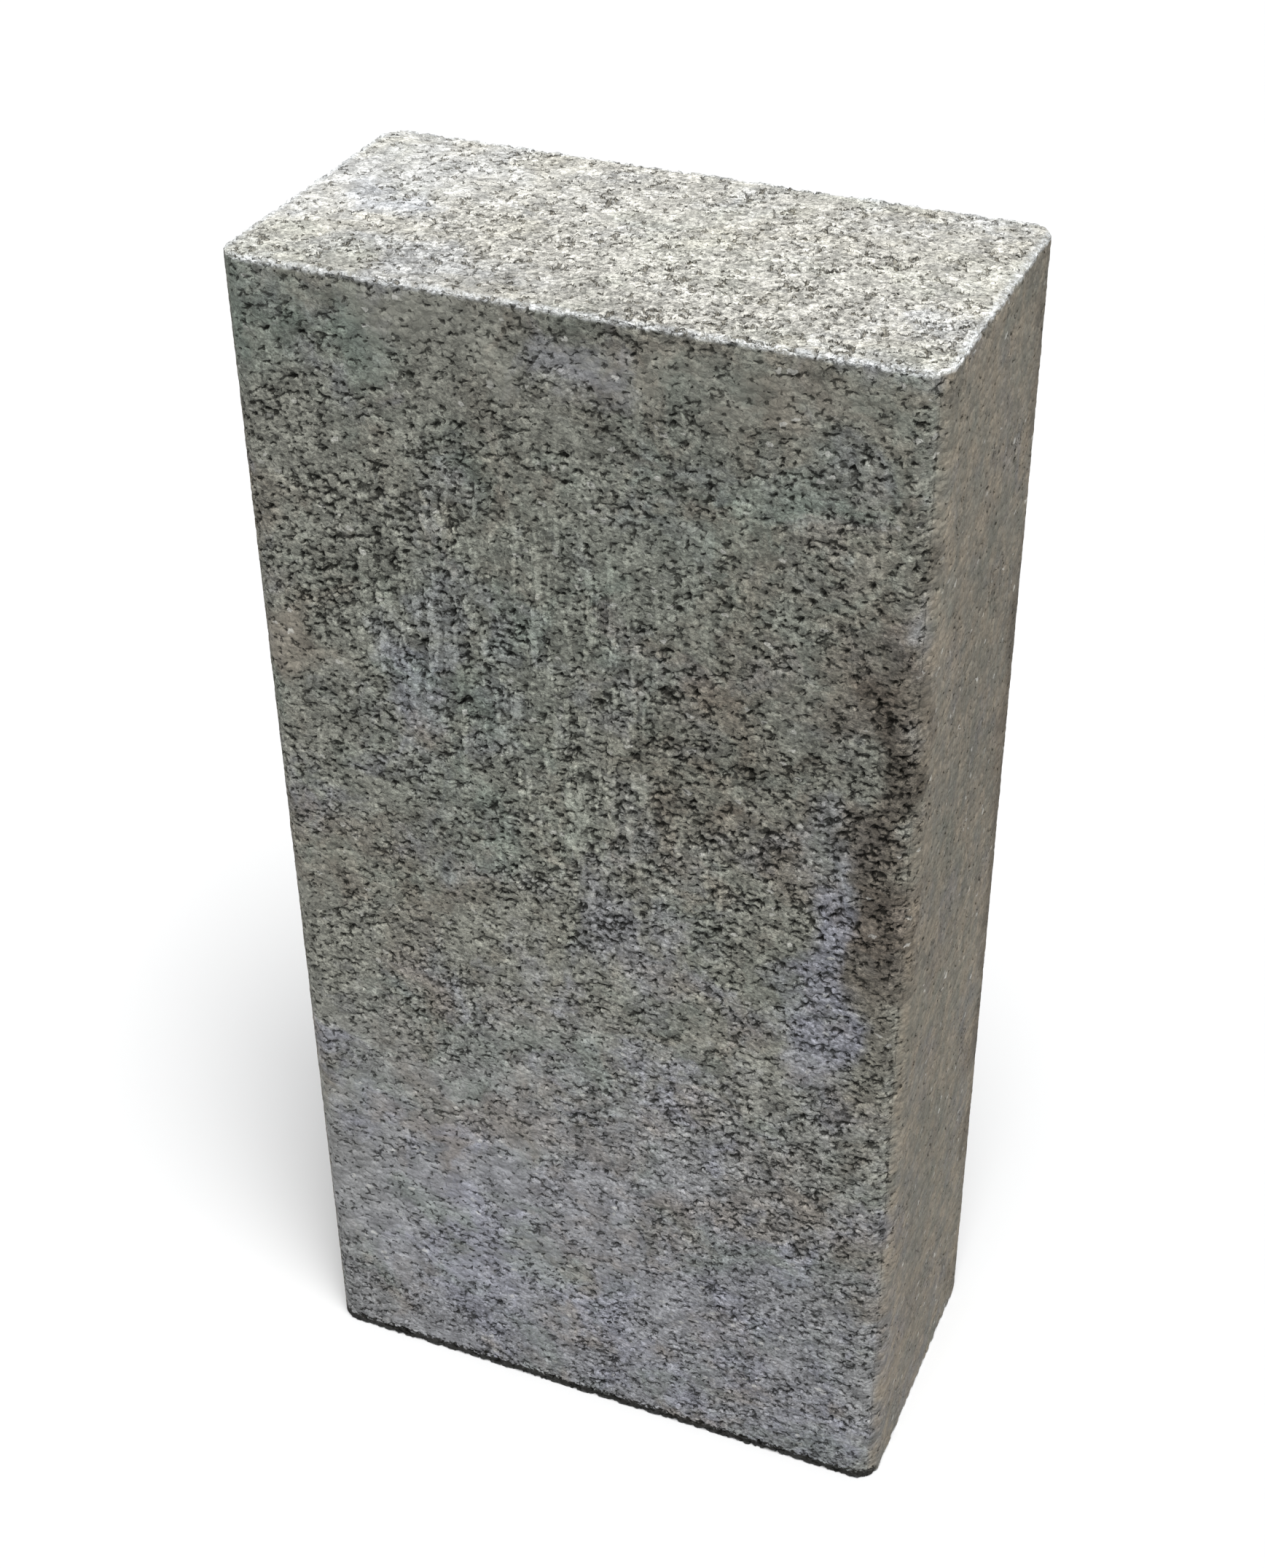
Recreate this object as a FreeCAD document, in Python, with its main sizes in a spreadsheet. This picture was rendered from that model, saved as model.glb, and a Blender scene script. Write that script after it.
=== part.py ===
import FreeCAD, Part
import os
import Sketcher
from FreeCAD import Vector

# Solid dry-cast concrete block, standing on its small end as it leaves the mould.
# Millimetres. X runs along the block's width, Y through its depth, +Z up.
# The origin is the middle of the end that the block stands on.

# ---- driving dimensions ------------------------------------------------------

DIMENSIONS = [
    ("block_width", 200.0, "long side of the end face, along X"),
    ("block_depth", 100.0, "short side of the end face, along Y"),
    ("block_height", 400.0, "length of the block, along Z"),
    ("mould_corner_radius", 8.0, "radius of the four long edges, from the mould's corners"),
]
PARALLEL_TOLERANCE = 1e-6  # how far off upright an edge may lie and still count as upright

os.makedirs("parts", exist_ok=True)
doc = FreeCAD.newDocument("concrete_block")
sheet = doc.addObject("Spreadsheet::Sheet", "dimensions")
for row, (alias, value, meaning) in enumerate(DIMENSIONS, start=1):
    sheet.set(f"A{row}", alias)
    sheet.set(f"B{row}", str(value))
    sheet.set(f"C{row}", meaning)
    sheet.setAlias(f"B{row}", alias)
doc.recompute()


# ---- helpers -------------------------------------------------------------------

def origin_plane(body, role):
    """The body's own origin plane with this role."""
    for feature in body.Origin.OriginFeatures:
        if feature.Role == role:
            return feature
    raise ValueError(f"{body.Label} has no {role}")


def centred_rectangle(sketch, width_alias, depth_alias):
    """Closed rectangle about the sketch's origin, its two sides bound to the sheet."""
    x = sheet.get(width_alias) / 2
    y = sheet.get(depth_alias) / 2
    corners = [Vector(-x, -y, 0), Vector(x, -y, 0), Vector(x, y, 0), Vector(-x, y, 0)]
    for start, end in zip(corners, corners[1:] + corners[:1]):
        sketch.addGeometry(Part.LineSegment(start, end), False)
    front, right, back, left = range(4)
    start_point, end_point = 1, 2
    for side, following in ((front, right), (right, back), (back, left), (left, front)):
        sketch.addConstraint(
            Sketcher.Constraint("Coincident", side, end_point, following, start_point))
    for side in (front, back):
        sketch.addConstraint(Sketcher.Constraint("Horizontal", side))
    for side in (right, left):
        sketch.addConstraint(Sketcher.Constraint("Vertical", side))
    # Opposite corners mirror each other through the sketch's origin.
    origin_curve, origin_point = -1, 1
    sketch.addConstraint(Sketcher.Constraint(
        "Symmetric", front, start_point, right, end_point, origin_curve, origin_point))
    for name, kind, side, alias in (("width", "DistanceX", front, width_alias),
                                    ("depth", "DistanceY", right, depth_alias)):
        index = sketch.addConstraint(
            Sketcher.Constraint(kind, side, start_point, side, end_point, sheet.get(alias)))
        sketch.renameConstraint(index, name)
        sketch.setExpression(f"Constraints.{name}", f"{sheet.Name}.{alias}")


def upright_edges(shape):
    """Names of the straight edges that run along Z."""
    names = []
    for number, edge in enumerate(shape.Edges, start=1):
        run = edge.lastVertex().Point - edge.firstVertex().Point
        if run.cross(Vector(0, 0, 1)).Length < PARALLEL_TOLERANCE:
            names.append(f"Edge{number}")
    return names


# ---- the casting: one solid, its four long edges rounded by the mould ------------

def make_concrete_block():
    body = doc.addObject("PartDesign::Body", "concrete_block")
    body.Label = "concrete_block"

    end_face = body.newObject("Sketcher::SketchObject", "end_face")
    end_face.AttachmentSupport = [(origin_plane(body, "XY_Plane"), "")]
    end_face.MapMode = "FlatFace"
    centred_rectangle(end_face, "block_width", "block_depth")

    casting = body.newObject("PartDesign::Pad", "casting")
    casting.Profile = end_face
    casting.setExpression("Length", f"{sheet.Name}.block_height")
    doc.recompute()

    long_edges = body.newObject("PartDesign::Fillet", "long_edges")
    long_edges.Base = (casting, upright_edges(casting.Shape))
    long_edges.setExpression("Radius", f"{sheet.Name}.mould_corner_radius")
    body.Tip = long_edges
    body.Placement = FreeCAD.Placement()
    return body


sub_parts = [make_concrete_block()]

# ---- checks, then one STEP file for each sub-part --------------------------------

doc.recompute()
for item in doc.Objects:
    if "Invalid" in item.State or "Error" in item.State:
        raise RuntimeError(f"{item.Label} did not build: {item.State}")

for part in sub_parts:
    if part.Shape.isNull() or not part.Shape.isValid():
        raise RuntimeError(f"{part.Label} is not a valid shape")
    if len(part.Shape.Solids) != 1:
        raise RuntimeError(f"{part.Label} is not one solid")

for part in sub_parts:
    part.Shape.exportStep(f"parts/{part.Label}.step")
    box = part.Shape.BoundBox
    print(part.Label, f"{box.XLength:.1f} x {box.YLength:.1f} x {box.ZLength:.1f} mm")
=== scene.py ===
"""A solid dry-cast concrete block, standing on its small end.

The block is one casting, pressed from a stiff, earth-damp mix and stripped from its mould at once. That
leaves the skin this script makes: stone grains and cement paste, torn open into small ragged cavities
where the mix did not fill the mould, and dragged smooth where it did.

The skin is cut along its edges into the six faces of the casting, each a closed solid that reaches in to
the block's centre, so that each face keeps its own fine mesh and its own maps.
"""
import math

import bpy
import numpy as np
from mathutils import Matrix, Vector


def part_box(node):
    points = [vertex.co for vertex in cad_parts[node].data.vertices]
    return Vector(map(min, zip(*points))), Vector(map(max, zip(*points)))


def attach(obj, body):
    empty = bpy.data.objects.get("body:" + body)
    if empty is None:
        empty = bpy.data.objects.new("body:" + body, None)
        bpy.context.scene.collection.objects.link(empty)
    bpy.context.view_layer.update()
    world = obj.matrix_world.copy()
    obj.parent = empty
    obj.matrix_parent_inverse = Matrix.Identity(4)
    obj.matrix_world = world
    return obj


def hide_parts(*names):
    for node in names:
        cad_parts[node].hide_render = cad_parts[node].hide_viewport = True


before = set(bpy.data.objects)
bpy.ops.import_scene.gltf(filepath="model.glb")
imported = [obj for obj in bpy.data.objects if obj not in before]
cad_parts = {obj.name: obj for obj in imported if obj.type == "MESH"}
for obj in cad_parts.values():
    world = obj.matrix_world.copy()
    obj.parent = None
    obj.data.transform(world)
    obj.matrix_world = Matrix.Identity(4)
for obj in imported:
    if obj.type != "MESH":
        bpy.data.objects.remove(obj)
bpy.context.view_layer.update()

MM = 0.001
BLOCK = "concrete_block"

# The plain casting, from the frame, and the shape of its edges.
LOW, HIGH = (Vector(corner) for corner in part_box(BLOCK))
WIDTH, DEPTH, HEIGHT = HIGH - LOW
MIDDLE = np.array((LOW + HIGH) / 2)
CORNER_RADIUS = 8 * MM
ARRIS_RADIUS = 0.9 * MM
# Half the block's sides in mm, the unit of all patterns.
HALF_WIDTH, HALF_DEPTH, HALF_HEIGHT = (side / MM / 2 for side in (WIDTH, DEPTH, HEIGHT))

# The mix: sand and the stones of an 8 mm dry mix, whose commonest sizes these are, in mm.
FINE_GRAIN = 1.7
COARSE_GRAIN = 3.4

# How far apart the skin's points lie before it is thinned, and how many triangles each face may keep.
SPACING = 0.45 * MM
FACE_TRIANGLES = 190_000
# The free border that each face's flat map leaves for the solid's hidden sides, as a share of the map.
MAP_MARGIN = 0.02


# ---------------------------------------------------------------- nodes and colours

MULTIPLY = {"operation": "MULTIPLY"}
MULTIPLY_ADD = {"operation": "MULTIPLY_ADD"}
ADD = {"operation": "ADD"}
SUBTRACT = {"operation": "SUBTRACT"}
LARGER = {"operation": "MAXIMUM"}
SMALLER = {"operation": "MINIMUM"}
POSITIVE = {"operation": "ABSOLUTE"}
SMOOTH = {"interpolation_type": "SMOOTHSTEP"}
COLOURS = {"data_type": "RGBA"}
# The numbers of a colour mix's sockets: how much of the second colour goes over the first.
SHARE, UNDER, OVER = 0, 6, 7


def add(tree, kind, settings=None, sockets=None):
    """Adds a node, sets its properties, then sets its inputs or links them to sockets or nodes."""
    node = tree.nodes.new(kind)
    for name, value in (settings or {}).items():
        setattr(node, name, value)
    for name, value in (sockets or {}).items():
        if isinstance(value, bpy.types.Node):
            value = next(output for output in value.outputs if output.enabled)
        if isinstance(value, bpy.types.NodeSocket):
            tree.links.new(value, node.inputs[name])
        else:
            node.inputs[name].default_value = value
    return node


def limits(low, high, at_low=0.0, at_high=1.0):
    """The Map Range inputs that turn a range of one value into a range of another."""
    return {"From Min": low, "From Max": high, "To Min": at_low, "To Max": at_high}


def linear(hex_colour):
    """An sRGB hex colour as the linear RGBA that the shader sockets take."""
    parts = [int(hex_colour[i:i + 2], 16) / 255 for i in (1, 3, 5)]
    return [p / 12.92 if p <= 0.04045 else ((p + 0.055) / 1.055) ** 2.4 for p in parts] + [1.0]


def per_mm(size):
    """The scale of a pattern whose repeat is so many millimetres."""
    return 1 / size


# ---------------------------------------------------------------- the skin's relief

# How far outlines wander, in mm: those of single grains, and those of the areas below.
GRAIN_WANDER = 1.5
AREA_WANDER = 50

# Areas where the mix filled the mould badly or well: centre and half sizes in mm, measured from the
# centre of the base, and how much more or less open the skin is at their middle.
OPEN_AREAS = (
    ((-70, -50, 330), (60, 30, 55), 0.22),
    ((-10, -50, 275), (90, 30, 60), 0.16),
    ((70, -50, 250), (60, 30, 80), 0.13),
    ((0, -50, 220), (70, 30, 34), 0.24),
    ((70, -50, 130), (50, 30, 55), 0.10),
    ((-75, -50, 30), (45, 20, 20), 0.16),
    ((93, -50, 275), (14, 14, 90), 0.15),
    ((0, 50, 260), (110, 30, 110), 0.20),
    ((60, 50, 90), (60, 30, 60), 0.16),
    ((-100, 10, 280), (30, 40, 60), 0.15),
    ((50, -30, 400), (90, 45, 20), 0.10),
    ((20, -44, 400), (110, 14, 12), 0.25),
)
CLOSED_AREAS = (
    ((0, -50, 394), (140, 25, 20), 0.30),
    ((-88, -50, 287), (18, 12, 16), 0.5),
    ((-80, 20, 400), (70, 60, 12), 0.25),
    ((-60, -50, 80), (100, 30, 90), 0.30),
    ((30, 50, 30), (90, 30, 60), 0.3),
)

# Where the mould wall smeared paste along the skin as the block was stripped.
DRAGGED_AREAS = (
    ((-20, -50, 300), (70, 25, 70), 1.3),
    ((10, -50, 235), (70, 25, 50), 0.7),
    ((60, -50, 340), (40, 20, 40), 0.5),
    ((30, 50, 300), (60, 25, 90), 1.2),
    ((100, 0, 250), (20, 50, 150), 0.3),
)

# Where the skin is darker, or, with a negative weight, paler. Some of this is painted light and shade: the
# front is darker near the top and paler low down, as the pale floor would light it, and paler along the
# front-right rounded edge as a painted highlight. The rest is darker bands by the right-hand corners.
DARK_AREAS = (
    ((0, -50, 385), (150, 25, 40), 0.12),
    ((92, -50, 275), (14, 16, 115), 0.42),
    ((10, -50, 300), (130, 30, 70), 0.10),
    ((100, 0, 260), (20, 70, 110), 0.10),
    ((100, 50, 200), (20, 20, 300), 0.35),
    ((-40, -50, 400), (100, 50, 12), 0.10),
    ((40, -50, 70), (130, 30, 110), -0.08),
    ((0, -50, 155), (150, 30, 60), -0.08),
    ((100, -45, 310), (12, 26, 120), -0.14),
)

# Where each tint of the paste gathers, on top of what chance spreads of it everywhere.
LAVENDER_AREAS = (
    ((0, -50, 40), (170, 60, 160), 0.6),
    ((-50, -50, 280), (18, 20, 28), 0.5),
    ((77, -50, 205), (14, 16, 72), 0.8),
    ((-80, 25, 400), (60, 40, 20), 0.4),
    ((0, 50, 330), (90, 40, 70), 0.4),
)
GREEN_AREAS = (
    ((-85, -50, 385), (40, 30, 30), 0.5),
    ((60, -50, 350), (50, 20, 40), 0.4),
    ((-30, -50, 235), (60, 20, 25), 0.25),
    ((10, -50, 300), (130, 30, 90), 0.25),
)
BROWN_AREAS = (
    ((93, -50, 270), (16, 18, 120), 0.7),
    ((-88, -50, 287), (20, 16, 18), 0.55),
    ((40, -50, 270), (50, 20, 50), 0.3),
    ((100, 48, 200), (30, 22, 320), 0.6),
)


def area_strength(tree, place, areas):
    """Adds up soft blobs, each 1 at its centre and 0 past its half sizes, times its weight."""
    total = None
    for centre, half_sizes, weight in areas:
        offset = add(tree, "ShaderNodeVectorMath", SUBTRACT, {0: place, 1: centre})
        scaled = add(tree, "ShaderNodeVectorMath", {"operation": "DIVIDE"}, {0: offset, 1: half_sizes})
        reach = add(tree, "ShaderNodeVectorMath", {"operation": "LENGTH"}, {0: scaled})
        blob = add(tree, "ShaderNodeMapRange", SMOOTH, {"Value": reach, **limits(1.0, 0.35, 0.0, weight)})
        total = blob if total is None else add(tree, "ShaderNodeMath", ADD, {0: total, 1: blob})
    return total


def skin_fields(tree, position):
    """The patterns that the relief and the colours share, from a place on the plain casting in metres."""
    place = add(tree, "ShaderNodeVectorMath", {"operation": "SCALE"}, {0: position, "Scale": 1 / MM})

    # Grains are never round: their outlines wander by a good part of a millimetre.
    wander = add(tree, "ShaderNodeTexNoise", {}, {"Vector": place, "Scale": per_mm(1.4), "Detail": 1.0})
    ragged = add(tree, "ShaderNodeVectorMath", MULTIPLY_ADD,
                 {0: wander.outputs["Color"], 1: (GRAIN_WANDER,) * 3, 2: place})

    # The areas' outlines wander too, by many grains.
    drift = add(tree, "ShaderNodeTexNoise", {}, {"Vector": place, "Scale": per_mm(24), "Detail": 4.0})
    centred = add(tree, "ShaderNodeVectorMath", SUBTRACT, {0: drift.outputs["Color"], 1: (0.5, 0.5, 0.5)})
    drifted = add(tree, "ShaderNodeVectorMath", MULTIPLY_ADD,
                  {0: centred, 1: (AREA_WANDER,) * 3, 2: place})

    # How open the skin is, from 0 where the paste closed it to 1 where it tore.
    clusters = add(tree, "ShaderNodeTexNoise", {},
                   {"Vector": place, "Scale": per_mm(15), "Detail": 4.0, "Roughness": 0.6})
    uneven = add(tree, "ShaderNodeMapRange", {},
                 {"Value": clusters.outputs["Fac"], **limits(0.3, 0.7, 0.2, 0.68)})
    opened = add(tree, "ShaderNodeMath", ADD, {0: uneven, 1: area_strength(tree, drifted, OPEN_AREAS)})
    closed = add(tree, "ShaderNodeMath", SUBTRACT, {0: opened, 1: area_strength(tree, drifted, CLOSED_AREAS)})
    # The narrow sides met polished mould walls, right up to the rounded edges.
    x = add(tree, "ShaderNodeSeparateXYZ", {}, {0: place}).outputs["X"]
    from_middle = add(tree, "ShaderNodeMath", POSITIVE, {0: x})
    narrow = add(tree, "ShaderNodeMapRange", SMOOTH,
                 {"Value": from_middle, **limits(HALF_WIDTH - 3.6, HALF_WIDTH - 0.8)})
    density = add(tree, "ShaderNodeMath", {"use_clamp": True, **MULTIPLY_ADD},
                  {0: narrow, 1: -0.42, 2: closed})

    # Cavities are what grains of two sizes leave between them: corners that point between the grains.
    # The block was pressed from above, so they lie a little flat.
    pressed = add(tree, "ShaderNodeVectorMath", MULTIPLY, {0: ragged, 1: (1.0, 1.0, 1.5)})
    # Only some of the gaps are open, so they stay apart instead of joining into a net.
    gaps = add(tree, "ShaderNodeTexNoise", {}, {"Vector": pressed, "Scale": per_mm(2.3), "Detail": 1.0})
    missing = add(tree, "ShaderNodeMapRange", {},
                  {"Value": gaps.outputs["Fac"], **limits(0.35, 0.65, -0.20, 0.14)})
    grains = {}
    # A cavity starts this far from its grain's middle, in grain sizes: on closed skin and on torn skin.
    for name, size, start_closed, start_torn in (("fine", FINE_GRAIN, 1.00, 0.56),
                                                 ("coarse", COARSE_GRAIN, 1.10, 0.64)):
        cells = add(tree, "ShaderNodeTexVoronoi", {"feature": "F1"},
                    {"Vector": pressed, "Scale": per_mm(size)})
        start = add(tree, "ShaderNodeMapRange", {},
                    {"Value": density, **limits(0.0, 1.0, start_closed, start_torn)})
        past = add(tree, "ShaderNodeMath", SUBTRACT, {0: cells.outputs["Distance"], 1: start})
        past = add(tree, "ShaderNodeMath", ADD, {0: past, 1: missing})
        grains[name] = cells
        grains[name + "_cavity"] = add(tree, "ShaderNodeMapRange", SMOOTH,
                                       {"Value": past, **limits(0.0, 0.14)})

    # Where the skin closed over, what is left of the gaps is short cracks along the grains' outlines.
    outlines = add(tree, "ShaderNodeTexVoronoi", {"feature": "DISTANCE_TO_EDGE"},
                   {"Vector": pressed, "Scale": per_mm(COARSE_GRAIN)})
    line = add(tree, "ShaderNodeMapRange", SMOOTH, {"Value": outlines, **limits(0.15, 0.05)})
    parted = add(tree, "ShaderNodeMath", MULTIPLY_ADD, {0: density, 1: 0.08, 2: gaps.outputs["Fac"]})
    parted = add(tree, "ShaderNodeMath", MULTIPLY_ADD, {0: narrow, 1: -0.05, 2: parted})
    clustered = add(tree, "ShaderNodeMath", MULTIPLY_ADD, {0: uneven, 1: 0.22, 2: parted})
    parting = add(tree, "ShaderNodeMapRange", SMOOTH, {"Value": clustered, **limits(0.686, 0.75)})
    grains["crack"] = add(tree, "ShaderNodeMath", MULTIPLY, {0: line, 1: parting})

    grit = add(tree, "ShaderNodeTexNoise", {},
               {"Vector": pressed, "Scale": per_mm(1.5), "Detail": 3.0, "Roughness": 0.6}).outputs["Fac"]

    # Drag marks are as wide as a grain and many grains long.
    along = add(tree, "ShaderNodeVectorMath", MULTIPLY, {0: ragged, 1: (1.0, 1.0, 0.15)})
    marks = add(tree, "ShaderNodeTexNoise", {}, {"Vector": along, "Scale": per_mm(2.1), "Detail": 2.0})
    mark = add(tree, "ShaderNodeMapRange", SMOOTH, {"Value": marks.outputs["Fac"], **limits(0.53, 0.61)})
    drag = add(tree, "ShaderNodeMath", {"use_clamp": True, **MULTIPLY},
               {0: mark, 1: area_strength(tree, drifted, DRAGGED_AREAS)})
    return {"place": place, "drifted": drifted, "density": density, "narrow": narrow, "grit": grit,
            "drag": drag, **grains}


def distance_from_end(tree, place):
    """How far a place is from the nearer end of the block, in mm."""
    z = add(tree, "ShaderNodeSeparateXYZ", {}, {0: place}).outputs["Z"]
    above_middle = add(tree, "ShaderNodeMath", SUBTRACT, {0: z, 1: HALF_HEIGHT})
    from_middle = add(tree, "ShaderNodeMath", POSITIVE, {0: above_middle})
    return add(tree, "ShaderNodeMath", SUBTRACT, {0: HALF_HEIGHT, 1: from_middle})


def edge_share(tree, place, from_end):
    """1 on the sharp edges of the two ends, fading to 0 about 3 mm away."""
    from_axis = add(tree, "ShaderNodeVectorMath", POSITIVE, {0: place})
    from_sides = add(tree, "ShaderNodeVectorMath", SUBTRACT,
                     {0: (HALF_WIDTH, HALF_DEPTH, 0), 1: from_axis})
    split = add(tree, "ShaderNodeSeparateXYZ", {}, {0: from_sides})
    from_side = add(tree, "ShaderNodeMath", SMALLER, {0: split.outputs["X"], 1: split.outputs["Y"]})
    inside = add(tree, "ShaderNodeMath", LARGER, {0: from_side, 1: 0.0})
    away = add(tree, "ShaderNodeMath", ADD, {0: inside, 1: from_end})
    return add(tree, "ShaderNodeMapRange", SMOOTH, {"Value": away, **limits(3.2, 0.6)})


def relief_tree():
    """Geometry Nodes: pushes the plain casting's surface in and out by the skin's relief."""
    tree = bpy.data.node_groups.new("cast_skin_relief", "GeometryNodeTree")
    sockets = tree.interface
    sockets.new_socket("Geometry", in_out="INPUT", socket_type="NodeSocketGeometry")
    for name, size in (("Cavity Depth", 0.7), ("Large Cavity Depth", 1.3), ("Grain Height", 0.22),
                       ("Grit Height", 0.6), ("Skin Waviness", 0.5), ("Drag Height", 0.45),
                       ("Crack Depth", 0.5), ("Arris Chip Depth", 1.1)):
        sockets.new_socket(name, in_out="INPUT", socket_type="NodeSocketFloat").default_value = size * MM
    sockets.new_socket("Material", in_out="INPUT", socket_type="NodeSocketMaterial")
    sockets.new_socket("Geometry", in_out="OUTPUT", socket_type="NodeSocketGeometry")
    given = add(tree, "NodeGroupInput")
    skin = skin_fields(tree, add(tree, "GeometryNodeInputPosition"))

    # Grains stand proud where the skin is open, and everywhere on the ends, which no mould wall wiped.
    from_end = distance_from_end(tree, skin["place"])
    end_share = add(tree, "ShaderNodeMapRange", SMOOTH, {"Value": from_end, **limits(0.6, 0.0)})
    open_share = add(tree, "ShaderNodeMapRange", SMOOTH,
                     {"Value": skin["density"], **limits(0.1, 0.7, 0.4, 0.9)})
    stand = add(tree, "ShaderNodeMath", LARGER, {0: end_share, 1: open_share})
    domes = add(tree, "ShaderNodeMapRange", SMOOTH,
                {"Value": skin["fine"].outputs["Distance"], **limits(0.15, 0.95, 1.0, -1.0)})
    stones = add(tree, "ShaderNodeMapRange", SMOOTH,
                 {"Value": skin["coarse"].outputs["Distance"], **limits(0.15, 0.9, 0.8, -0.8)})
    both = add(tree, "ShaderNodeMath", ADD, {0: domes, 1: stones})
    raised = add(tree, "ShaderNodeMath", MULTIPLY, {0: both, 1: stand})
    rough = add(tree, "ShaderNodeMath", SUBTRACT, {0: skin["grit"], 1: 0.5})
    rough = add(tree, "ShaderNodeMath", MULTIPLY, {0: rough, 1: stand})

    waves = add(tree, "ShaderNodeTexNoise", {},
                {"Vector": skin["place"], "Scale": per_mm(9), "Detail": 5.0, "Roughness": 0.62})
    waviness = add(tree, "ShaderNodeMath", SUBTRACT, {0: waves.outputs["Fac"], 1: 0.5})

    # The sharp end edges crumble in bites of a few grains.
    bites = add(tree, "ShaderNodeTexNoise", {},
                {"Vector": skin["place"], "Scale": per_mm(3.2), "Detail": 3.0, "Roughness": 0.6})
    bitten = add(tree, "ShaderNodeMapRange", SMOOTH, {"Value": bites.outputs["Fac"], **limits(0.42, 0.72)})
    chips = add(tree, "ShaderNodeMath", MULTIPLY, {0: bitten, 1: edge_share(tree, skin["place"], from_end)})

    # Each pattern's amount, the input that sizes it, and how it counts: out of the skin or into it.
    total = 0.0
    for amount, size, gain in ((skin["fine_cavity"], "Cavity Depth", -1),
                               (skin["coarse_cavity"], "Large Cavity Depth", -1),
                               (raised, "Grain Height", 0.5),
                               (rough, "Grit Height", 1),
                               (waviness, "Skin Waviness", 1),
                               (skin["drag"], "Drag Height", 1),
                               (skin["crack"], "Crack Depth", -1),
                               (chips, "Arris Chip Depth", -1)):
        reach = add(tree, "ShaderNodeMath", MULTIPLY, {0: given.outputs[size], 1: gain})
        total = add(tree, "ShaderNodeMath", MULTIPLY_ADD, {0: amount, 1: reach, 2: total})

    push = add(tree, "ShaderNodeVectorMath", {"operation": "SCALE"},
               {0: add(tree, "GeometryNodeInputNormal"), "Scale": total})
    moved = add(tree, "GeometryNodeSetPosition", {}, {"Geometry": given.outputs["Geometry"], "Offset": push})
    real = add(tree, "GeometryNodeRealizeInstances", {}, {"Geometry": moved})
    dressed = add(tree, "GeometryNodeSetMaterial", {},
                  {"Geometry": real, "Material": given.outputs["Material"]})
    add(tree, "NodeGroupOutput", {}, {"Geometry": dressed})
    return tree


# ---------------------------------------------------------------- the mesh

def casting_lattice():
    """The plain casting as a closed lattice: its points, and a grid of point numbers for each face."""
    counts = [max(2, round(length / SPACING)) for length in (WIDTH, DEPTH, HEIGHT)]
    grids = {}
    for name, fixed, level, flip in (("left_side", 0, 0, True), ("right_side", 0, counts[0], False),
                                     ("front_face", 1, 0, False), ("back_face", 1, counts[1], True),
                                     ("bottom_end", 2, 0, True), ("top_end", 2, counts[2], False)):
        across, up = [axis for axis in range(3) if axis != fixed]
        j, i = np.meshgrid(np.arange(counts[up] + 1), np.arange(counts[across] + 1), indexing="ij")
        cell = np.zeros(i.shape + (3,), dtype=np.int64)
        cell[..., across], cell[..., up], cell[..., fixed] = i, j, level
        grids[name] = cell[:, ::-1] if flip else cell
    sizes = np.array(counts) + 1
    codes = {name: (cell[..., 0] * sizes[1] + cell[..., 1]) * sizes[2] + cell[..., 2]
             for name, cell in grids.items()}
    used, numbers = np.unique(np.concatenate([code.ravel() for code in codes.values()]), return_inverse=True)
    start = 0
    for name, code in codes.items():
        grids[name] = numbers.reshape(-1)[start:start + code.size].reshape(code.shape)
        start += code.size
    steps = np.stack([used // (sizes[1] * sizes[2]), used // sizes[2] % sizes[1], used % sizes[2]], axis=1)
    points = steps / np.array(counts) * np.array([WIDTH, DEPTH, HEIGHT]) + np.array(LOW)
    return rounded(points), grids


def around_core(from_middle):
    """Splits places into the nearest point of the core that the long edges turn around, and the rest."""
    inner = np.array([WIDTH / 2 - CORNER_RADIUS, DEPTH / 2 - CORNER_RADIUS])
    core = np.clip(from_middle[:, :2], -inner, inner)
    return core, from_middle[:, :2] - core


def rounded(points):
    """Rounds a box's long edges to the mould's corner radius, and its end edges to the small arris."""
    from_middle = points - MIDDLE
    core, spoke = around_core(from_middle)
    reach = np.abs(spoke).max(axis=1)
    direction = spoke / np.maximum(np.linalg.norm(spoke, axis=1), 1e-12)[:, None]

    inset = CORNER_RADIUS - reach
    from_end = HEIGHT / 2 - np.abs(from_middle[:, 2])
    turn = math.pi / 4 * (1 - np.minimum(from_end / ARRIS_RADIUS, 1) + np.minimum(inset / ARRIS_RADIUS, 1))
    new_inset = ARRIS_RADIUS * (1 - np.cos(turn)) + np.maximum(inset - ARRIS_RADIUS, 0)
    new_from_end = ARRIS_RADIUS * (1 - np.sin(turn)) + np.maximum(from_end - ARRIS_RADIUS, 0)

    out = np.empty_like(points)
    out[:, :2] = core + direction * (CORNER_RADIUS - new_inset)[:, None]
    out[:, 2] = np.sign(from_middle[:, 2]) * (HEIGHT / 2 - new_from_end)
    return out + MIDDLE


def grid_quads(grid):
    """The four corners of every cell of a grid of point numbers."""
    return np.stack([grid[:-1, :-1], grid[:-1, 1:], grid[1:, 1:], grid[1:, :-1]], axis=-1).reshape(-1, 4)


def mesh_from(name, points, faces):
    """A mesh from point rows and faces that all have as many corners."""
    mesh = bpy.data.meshes.new(name)
    mesh.vertices.add(len(points))
    mesh.vertices.foreach_set("co", np.ascontiguousarray(points, dtype=np.float32).ravel())
    mesh.loops.add(faces.size)
    mesh.loops.foreach_set("vertex_index", np.ascontiguousarray(faces, dtype=np.int32).ravel())
    mesh.polygons.add(len(faces))
    mesh.polygons.foreach_set("loop_start", np.arange(0, faces.size, faces.shape[1], dtype=np.int32))
    mesh.update(calc_edges=True)
    return mesh


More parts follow.
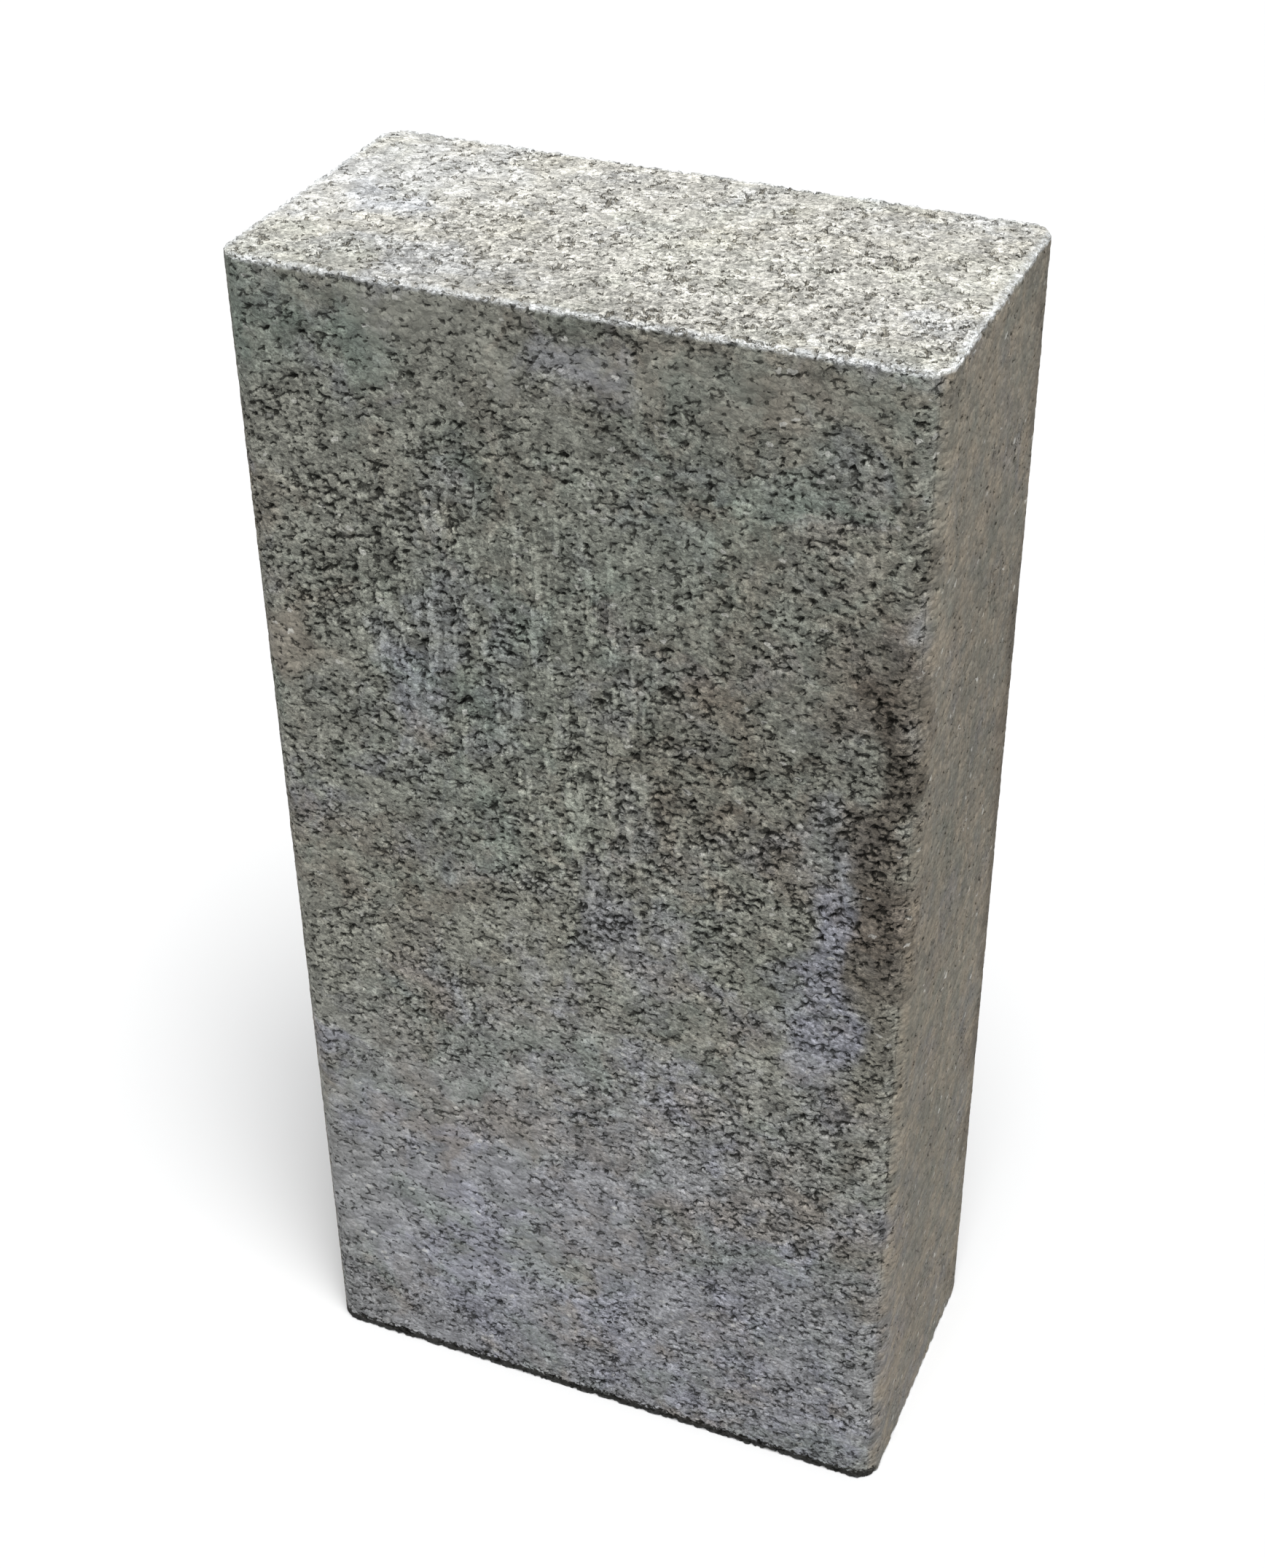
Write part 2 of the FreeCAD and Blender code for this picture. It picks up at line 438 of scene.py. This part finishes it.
def evaluated_mesh(shape):
    """The object's mesh with its modifiers applied."""
    return bpy.data.meshes.new_from_object(shape.evaluated_get(bpy.context.evaluated_depsgraph_get()))


def read(items, field, width, kind=np.float32):
    """A field of many mesh items as one array."""
    values = np.empty(len(items) * width, dtype=kind)
    items.foreach_get(field, values)
    return values.reshape(-1, width) if width > 1 else values


def relieved_points(points, grids, material):
    """The lattice's points after the relief has moved them."""
    mesh = mesh_from("casting_skin", points, np.concatenate([grid_quads(grid) for grid in grids.values()]))
    mesh.polygons.foreach_set("use_smooth", np.ones(len(mesh.polygons), dtype=bool))
    skin = bpy.data.objects.new("casting_skin", mesh)
    bpy.context.scene.collection.objects.link(skin)
    relief = skin.modifiers.new("relief", "NODES")
    relief.node_group = relief_tree()
    sockets = {item.name: item.identifier for item in relief.node_group.interface.items_tree
               if item.in_out == "INPUT"}
    relief[sockets["Material"]] = material
    result = evaluated_mesh(skin)
    moved = read(result.vertices, "co", 3)
    bpy.data.objects.remove(skin)
    bpy.data.meshes.remove(mesh)
    bpy.data.meshes.remove(result)
    return moved


def face_piece(name, points, grid, material):
    """One face of the casting as a closed solid: its skin, and a fan from its rim to the block's centre."""
    rim = np.concatenate([grid[0, :-1], grid[:-1, -1], grid[-1, :0:-1], grid[:0:-1, 0]])
    quads = grid_quads(grid)
    skin = np.concatenate([quads[:, [0, 1, 2]], quads[:, [0, 2, 3]]])
    used, numbers = np.unique(skin, return_inverse=True)
    skin = numbers.reshape(skin.shape)
    rim = np.searchsorted(used, rim)
    apex = len(used)
    fan = np.stack([np.roll(rim, -1), rim, np.full(len(rim), apex)], axis=1)
    mesh = mesh_from(name, np.concatenate([points[used], [MIDDLE]]), np.concatenate([skin, fan]))
    piece = bpy.data.objects.new(name, mesh)
    bpy.context.scene.collection.objects.link(piece)

    share = (FACE_TRIANGLES - len(fan)) / len(skin)
    if share < 1:
        # The rim stays as it is, so that neighbouring faces go on meeting point for point.
        free = np.setdiff1d(np.arange(apex), rim)
        piece.vertex_groups.new(name="free").add(free.tolist(), 1.0, "REPLACE")
        thinning = piece.modifiers.new("thinning", "DECIMATE")
        thinning.ratio = share
        thinning.vertex_group = "free"
        thinned = evaluated_mesh(piece)
        piece.modifiers.clear()
        piece.vertex_groups.clear()
        piece.data = thinned
        bpy.data.meshes.remove(mesh)
        mesh = thinned
        mesh.name = name
    mesh.materials.clear()
    mesh.materials.append(material)
    return piece


def nearest_on_casting(points, name):
    """The places on the plain casting's face that these points of its skin were pushed from."""
    from_middle = points - MIDDLE
    out = from_middle.copy()
    if name.endswith("_end"):
        out[:, 2] = math.copysign(HEIGHT / 2, 1 if name == "top_end" else -1)
    else:
        core, spoke = around_core(from_middle)
        length = np.maximum(np.linalg.norm(spoke, axis=1), 1e-9)[:, None]
        out[:, :2] = core + spoke / length * CORNER_RADIUS
    return out + MIDDLE


def dress(piece):
    """Smooths the skin, and adds the places that the finish reads and the UV map that the export needs."""
    mesh = piece.data
    points = read(mesh.vertices, "co", 3)
    corners = read(mesh.loops, "vertex_index", 1, np.int32).reshape(-1, 3)
    apex = int(np.argmin(np.linalg.norm(points - MIDDLE, axis=1)))
    inside = (corners == apex).any(axis=1)
    mesh.polygons.foreach_set("use_smooth", ~inside)

    rest = nearest_on_casting(points, piece.name)
    rest[apex] = MIDDLE
    attribute = mesh.attributes.new("mould_position", "FLOAT_VECTOR", "POINT")
    attribute.data.foreach_set("vector", rest.astype(np.float32).ravel())

    # The map lies flat over the face, with a margin that holds the hidden fan.
    axes = {"side": [1, 2], "face": [0, 2], "end": [0, 1]}[piece.name.split("_")[1]]
    low = np.array(LOW)[axes]
    size = np.array(HIGH - LOW)[axes]
    flat = MAP_MARGIN + (1 - 2 * MAP_MARGIN) * np.clip((points[:, axes] - low) / size, 0, 1)
    if piece.name in ("left_side", "back_face", "bottom_end"):
        flat[:, 0] = 1 - flat[:, 0]
    map_corners = flat[corners]
    # Each hidden triangle's corner at the block's centre is folded out into the margin beside its rim edge.
    near_border = np.abs(flat - 0.5) > 0.5 - 1.5 * MAP_MARGIN
    outward = np.where(near_border, np.sign(flat - 0.5), 0) * MAP_MARGIN / 2
    fan_corners = map_corners[inside]
    is_apex = corners[inside] == apex
    rim_mean = (fan_corners * ~is_apex[..., None]).sum(axis=1) / 2
    rim_out = (outward[corners[inside]] * ~is_apex[..., None]).sum(axis=1) / 2
    fan_corners[is_apex] = rim_mean + rim_out
    map_corners[inside] = fan_corners
    uv = mesh.uv_layers.new(name="OFBake")
    uv.data.foreach_set("uv", map_corners.astype(np.float32).ravel())
    mesh.update()


# ---------------------------------------------------------------- the finish

# The most of one tint that the paste takes on anywhere.
MOST_TINT = 0.85

# How far the relief that is too small for the mesh stands out.
SMALL_RELIEF = 1.6 * MM


def paste_colour(tree, skin):
    """The colour of the cement paste, before grains and cavities break it up."""
    # The mould walls leave the sides grey; the ends are much paler and warmer: partly the sand that the paste
    # bares there, partly painted light, as the lit top end is painted paler than the sides.
    colour = add(tree, "ShaderNodeMix", COLOURS,
                 {SHARE: skin["end_share"], UNDER: linear("#83837a"), OVER: linear("#cfcdc5")})
    chance = add(tree, "ShaderNodeTexNoise", {},
                 {"Vector": skin["drifted"], "Scale": per_mm(30), "Detail": 5.0, "Roughness": 0.6})
    chance = add(tree, "ShaderNodeSeparateColor", {}, {0: chance.outputs["Color"]})
    for channel, areas, side_tint, end_tint in ((0, LAVENDER_AREAS, "#8a8b95", "#d3d6da"),
                                                (1, GREEN_AREAS, "#727b72", "#c6c8bc"),
                                                (2, BROWN_AREAS, "#7e7468", "#cdc9bb")):
        spread = add(tree, "ShaderNodeMapRange", SMOOTH,
                     {"Value": chance.outputs[channel], **limits(0.47, 0.7, 0.0, 0.5)})
        amount = add(tree, "ShaderNodeMath", ADD, {0: spread, 1: area_strength(tree, skin["drifted"], areas)})
        amount = add(tree, "ShaderNodeMath", SMALLER, {0: amount, 1: MOST_TINT})
        tint = add(tree, "ShaderNodeMix", COLOURS,
                   {SHARE: skin["end_share"], UNDER: linear(side_tint), OVER: linear(end_tint)})
        colour = add(tree, "ShaderNodeMix", COLOURS, {SHARE: amount, UNDER: colour, OVER: tint})

    # The narrow sides dried warmer.
    warmed = add(tree, "ShaderNodeMapRange", SMOOTH, {"Value": skin["mottle"], **limits(0.3, 0.7, 0.35, 0.9)})
    warmed = add(tree, "ShaderNodeMath", MULTIPLY, {0: skin["narrow_side"], 1: warmed})
    colour = add(tree, "ShaderNodeMix", COLOURS, {SHARE: warmed, UNDER: colour, OVER: linear("#7f7668")})

    # A near-white rim along the end edges: partly cement that gathers there and dries pale, partly a painted
    # highlight where the arris catches the light.
    gritty = add(tree, "ShaderNodeMapRange", SMOOTH, {"Value": skin["grit"], **limits(0.3, 0.55)})
    near_end = add(tree, "ShaderNodeMapRange", SMOOTH,
                   {"Value": skin["from_end"], **limits(2.0, 0.4, 0.0, 0.6)})
    edge = edge_share(tree, skin["place"], skin["from_end"])
    rim = add(tree, "ShaderNodeMath", MULTIPLY, {0: edge, 1: gritty})
    rim = add(tree, "ShaderNodeMath", MULTIPLY, {0: rim, 1: near_end})
    return add(tree, "ShaderNodeMix", COLOURS, {SHARE: rim, UNDER: colour, OVER: linear("#dfe3e6")})


def grain_tone(tree, skin):
    """How much lighter or darker than its paste each grain and area is."""
    stones = add(tree, "ShaderNodeSeparateColor", {}, {0: skin["coarse"].outputs["Color"]})
    # Sand and grit show as fine speckle, least where the paste closed the skin.
    tone = add(tree, "ShaderNodeMapRange", SMOOTH,
               {"Value": skin["grain_chance"].outputs[0], **limits(0, 1, 0.84, 1.18)})
    for value, range_of_tone in ((skin["sand"], limits(0.3, 0.7, 0.86, 1.14)),
                                 (skin["grit"], limits(0.34, 0.62, 0.64, 1.34))):
        speckle = add(tree, "ShaderNodeMapRange", SMOOTH, {"Value": value, **range_of_tone})
        tone = add(tree, "ShaderNodeMath", MULTIPLY, {0: tone, 1: speckle})
    change = add(tree, "ShaderNodeMath", SUBTRACT, {0: tone, 1: 1.0})
    tone = add(tree, "ShaderNodeMath", MULTIPLY_ADD, {0: change, 1: skin["rough_share"], 2: 1.0})

    # Each stone has its own tone, most on the ends, where stones lie bare.
    stony = add(tree, "ShaderNodeMath", MULTIPLY_ADD, {0: skin["end_share"], 1: 0.05, 2: 0.32})
    change = add(tree, "ShaderNodeMath", SUBTRACT, {0: stones.outputs[0], 1: 0.5})
    stone_tone = add(tree, "ShaderNodeMath", MULTIPLY_ADD, {0: change, 1: stony, 2: 1.0})
    tone = add(tree, "ShaderNodeMath", MULTIPLY, {0: tone, 1: stone_tone})
    clouds = add(tree, "ShaderNodeMapRange", SMOOTH,
                 {"Value": skin["mottle"], **limits(0.3, 0.7, 0.81, 1.19)})
    tone = add(tree, "ShaderNodeMath", MULTIPLY, {0: tone, 1: clouds})
    # Drag marks are paste smeared over the grains, and dry pale.
    tone = add(tree, "ShaderNodeMath", MULTIPLY_ADD, {0: skin["drag"], 1: 0.62, 2: tone})

    # The dark areas darken or lighten the skin, partly as painted light and shade, and the narrow sides are a
    # tenth duller all over.
    grime_and_painted_light = area_strength(tree, skin["drifted"], DARK_AREAS)
    brightness_factor = add(tree, "ShaderNodeMath", SUBTRACT, {0: 1.0, 1: grime_and_painted_light})
    dull = add(tree, "ShaderNodeMath", MULTIPLY_ADD, {0: skin["narrow_side"], 1: -0.10, 2: 1.0})
    brightness_factor = add(tree, "ShaderNodeMath", MULTIPLY, {0: brightness_factor, 1: dull})
    return add(tree, "ShaderNodeMath", MULTIPLY, {0: tone, 1: brightness_factor})


def hollow_share(tree, skin):
    """How deep in a cavity or a crack a place lies, from 0 to 1."""
    cavity = add(tree, "ShaderNodeMath", LARGER, {0: skin["fine_cavity"], 1: skin["coarse_cavity"]})
    crack = add(tree, "ShaderNodeMath", MULTIPLY, {0: skin["crack"], 1: 0.85})
    hollow = add(tree, "ShaderNodeMath", LARGER, {0: cavity, 1: crack})
    # A drag mark fills the cavities it crosses with paste.
    unfilled = add(tree, "ShaderNodeMath", MULTIPLY_ADD, {0: skin["drag"], 1: -0.7, 2: 1.0})
    return add(tree, "ShaderNodeMath", MULTIPLY, {0: hollow, 1: unfilled})


def foot_shadow_and_dirt(tree, skin):
    """A dark ragged band along the foot of the wide faces: painted contact shadow, with some dirt along its
    torn edge.
    """
    split = add(tree, "ShaderNodeSeparateXYZ", {}, {0: skin["place"]})
    # The grit's noise, spread over 8 mm, makes the band's upper border ragged.
    height = add(tree, "ShaderNodeMath", MULTIPLY_ADD, {0: skin["grit"], 1: 8.0, 2: split.outputs["Z"]})
    foot = add(tree, "ShaderNodeMapRange", SMOOTH, {"Value": height, **limits(8.6, 7.4, 0.0, 0.93)})
    outward = add(tree, "ShaderNodeMath", POSITIVE, {0: split.outputs["Y"]})
    wide_face = add(tree, "ShaderNodeMapRange", SMOOTH,
                    {"Value": outward, **limits(HALF_DEPTH - 7, HALF_DEPTH - 4)})
    return add(tree, "ShaderNodeMath", MULTIPLY, {0: foot, 1: wide_face})


def small_relief(tree, skin, hollow):
    """What is too small for the mesh: grit, sand, the stones' rounding and the cavities' crumbling lips."""
    sandy = add(tree, "ShaderNodeMath", MULTIPLY, {0: skin["sand"], 1: 0.3})
    small = add(tree, "ShaderNodeMath", MULTIPLY_ADD, {0: skin["grit"], 1: 1.6, 2: sandy})
    small = add(tree, "ShaderNodeMath", MULTIPLY, {0: small, 1: skin["rough_share"]})
    small = add(tree, "ShaderNodeMath", MULTIPLY_ADD,
                {0: skin["coarse"].outputs["Distance"], 1: -1.0, 2: small})
    small = add(tree, "ShaderNodeMath", MULTIPLY_ADD, {0: hollow, 1: -0.7, 2: small})
    return add(tree, "ShaderNodeBump", {}, {"Strength": 1.0, "Distance": SMALL_RELIEF, "Height": small})


def finish_fields(tree):
    """The patterns of the skin, and those that only the finish reads."""
    position = add(tree, "ShaderNodeAttribute", {"attribute_name": "mould_position"}).outputs["Vector"]
    skin = skin_fields(tree, position)
    from_end = distance_from_end(tree, skin["place"])
    end_share = add(tree, "ShaderNodeMapRange", SMOOTH, {"Value": from_end, **limits(1.4, 0.2)})
    side_share = add(tree, "ShaderNodeMath", SUBTRACT, {0: 1.0, 1: end_share})
    narrow_side = add(tree, "ShaderNodeMath", MULTIPLY, {0: skin["narrow"], 1: side_share})
    mottle = add(tree, "ShaderNodeTexNoise", {},
                 {"Vector": skin["place"], "Scale": per_mm(8), "Detail": 4.0}).outputs["Fac"]
    # Sand of 0.3 mm is too fine to show, so it is drawn at 0.8 mm.
    sand = add(tree, "ShaderNodeTexNoise", {},
               {"Vector": skin["place"], "Scale": per_mm(0.8), "Detail": 2.0}).outputs["Fac"]
    rough_share = add(tree, "ShaderNodeMapRange", SMOOTH,
                      {"Value": skin["density"], **limits(0.02, 0.5, 0.32, 1.0)})
    bare_end = add(tree, "ShaderNodeMath", MULTIPLY, {0: end_share, 1: 0.7})
    rough_share = add(tree, "ShaderNodeMath", LARGER, {0: rough_share, 1: bare_end})
    grain_chance = add(tree, "ShaderNodeSeparateColor", {}, {0: skin["fine"].outputs["Color"]})
    return {**skin, "from_end": from_end, "end_share": end_share, "narrow_side": narrow_side,
            "mottle": mottle, "sand": sand, "rough_share": rough_share, "grain_chance": grain_chance}


def dry_cast_concrete():
    """Dry-cast grey concrete, vibrated in a steel mould: dull, sandy and uneven, with no sheen at all."""
    material = bpy.data.materials.new("dry_cast_concrete")
    material.use_nodes = True
    tree = material.node_tree
    tree.nodes.clear()
    skin = finish_fields(tree)

    colour = add(tree, "ShaderNodeMix", {"blend_type": "MULTIPLY", **COLOURS},
                 {SHARE: 1.0, UNDER: paste_colour(tree, skin), OVER: grain_tone(tree, skin)})
    # About one fine grain in 150 is white.
    white = add(tree, "ShaderNodeMapRange", SMOOTH,
                {"Value": skin["grain_chance"].outputs[1], **limits(0.990, 0.996, 0.0, 0.4)})
    colour = add(tree, "ShaderNodeMix", COLOURS, {SHARE: white, UNDER: colour, OVER: linear("#d9d8d2")})

    # Painted shade, with some dust, darkens the cavities and cracks; less on the ends, which see more sky.
    hollow = hollow_share(tree, skin)
    cavity_shade_colour = add(tree, "ShaderNodeMix", COLOURS,
               {SHARE: skin["end_share"], UNDER: linear("#1a1913"), OVER: linear("#5f5640")})
    painted_cavity_shade = add(tree, "ShaderNodeMath", MULTIPLY_ADD, {0: skin["end_share"], 1: -0.14, 2: 0.76})
    painted_cavity_shade = add(tree, "ShaderNodeMath", MULTIPLY, {0: hollow, 1: painted_cavity_shade})
    colour = add(tree, "ShaderNodeMix", COLOURS, {SHARE: painted_cavity_shade, UNDER: colour, OVER: cavity_shade_colour})
    # The foot of the wide faces gets a dark band: painted contact shadow, with some dirt.
    colour = add(tree, "ShaderNodeMix", COLOURS,
                 {SHARE: foot_shadow_and_dirt(tree, skin), UNDER: colour, OVER: linear("#15130c")})

    shader = add(tree, "ShaderNodeBsdfPrincipled", {},
                 {"Base Color": colour, "Roughness": 0.95, "IOR": 1.5, "Specular IOR Level": 0.25,
                  "Normal": small_relief(tree, skin, hollow)})
    add(tree, "ShaderNodeOutputMaterial", {}, {"Surface": shader})
    return material


def matt_paint(name, hex_colour):
    """Matt emulsion, rolled on: one even colour with no shine."""
    material = bpy.data.materials.new(name)
    material.use_nodes = True
    shader = material.node_tree.nodes["Principled BSDF"]
    shader.inputs["Base Color"].default_value = linear(hex_colour)
    shader.inputs["Roughness"].default_value = 0.9
    return material


# ---------------------------------------------------------------- the studio

# Where the camera stands and looks: degrees round from the front, degrees up, and its lens in mm.
CAMERA_AZIMUTH = 22.0
CAMERA_ELEVATION = 35.6
CAMERA_DISTANCE = 778.7 * MM
AIM = Vector((0.0, 31 * MM, 194 * MM))
LENS = 55.4
SENSOR_WIDTH = 36
SHIFT = (-0.0328, 0.0173)

# The softbox, almost overhead: its strength, and in degrees how wide it looks and how far it leans, to the
# right and, as that is below zero, to the front.
KEY_ENERGY = 3.9
KEY_WIDTH = 30
KEY_LEAN = (12, -17)

# The room is brightest low down, where its pale walls meet the floor: strengths, and degrees up.
GLOW_LOW = 1.06
GLOW_HIGH = 0.22
GLOW_FADE = (8, 26)

# The floor reaches so far, in metres, that its edge never shows.
FLOOR_REACH = 40


def sine(degrees):
    """The sine of an angle in degrees."""
    return math.sin(math.radians(degrees))


def studio():
    """Floor, light and camera."""
    scene = bpy.context.scene
    corners = np.array([(-1, -1, 0), (1, -1, 0), (1, 1, 0), (-1, 1, 0)]) * FLOOR_REACH
    floor_mesh = mesh_from("floor", corners, np.array([[0, 1, 2, 3]]))
    floor_mesh.materials.append(matt_paint("pale_floor_paint", "#dedede"))
    floor = bpy.data.objects.new("floor", floor_mesh)
    scene.collection.objects.link(floor)

    world = bpy.data.worlds.new("studio_room")
    world.use_nodes = True
    air = world.node_tree
    air.nodes.clear()
    look = add(air, "ShaderNodeTexCoord").outputs["Generated"]
    up = add(air, "ShaderNodeSeparateXYZ", {}, {0: look}).outputs["Z"]
    fade_start, fade_end = GLOW_FADE
    glow = add(air, "ShaderNodeMapRange", SMOOTH,
               {"Value": up, **limits(sine(fade_end), sine(fade_start), GLOW_HIGH, GLOW_LOW)})
    room = add(air, "ShaderNodeBackground", {}, {"Color": linear("#f6f8fa"), "Strength": glow})
    add(air, "ShaderNodeOutputWorld", {}, {"Surface": room})
    scene.world = world

    key = bpy.data.lights.new("overhead_softbox", "SUN")
    key.energy = KEY_ENERGY
    key.angle = math.radians(KEY_WIDTH)
    lamp = bpy.data.objects.new("overhead_softbox", key)
    lean_x, lean_y = (math.tan(math.radians(lean)) for lean in KEY_LEAN)
    towards = Vector((lean_x, lean_y, 1.0))
    lamp.rotation_euler = towards.to_track_quat("Z", "Y").to_euler()
    lamp.location = towards
    scene.collection.objects.link(lamp)

    across = math.cos(math.radians(CAMERA_ELEVATION))
    back = Vector((sine(CAMERA_AZIMUTH) * across, -math.cos(math.radians(CAMERA_AZIMUTH)) * across,
                   sine(CAMERA_ELEVATION)))
    lens = bpy.data.cameras.new("camera")
    lens.sensor_width = SENSOR_WIDTH
    lens.lens = LENS
    lens.shift_x, lens.shift_y = SHIFT
    lens.clip_start = 0.05
    camera = bpy.data.objects.new("camera", lens)
    camera.location = AIM + back * CAMERA_DISTANCE
    camera.rotation_euler = (-back).to_track_quat("-Z", "Y").to_euler()
    scene.collection.objects.link(camera)
    scene.camera = camera
    scene.view_settings.view_transform = "Standard"


def casting():
    """The six faces of the block."""
    concrete = dry_cast_concrete()
    points, grids = casting_lattice()
    points = relieved_points(points, grids, concrete)
    for name, grid in grids.items():
        piece = face_piece(name, points, grid, concrete)
        dress(piece)
        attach(piece, "root")
        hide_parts(BLOCK)
        print(name, len(piece.data.polygons), "triangles")


casting()
studio()
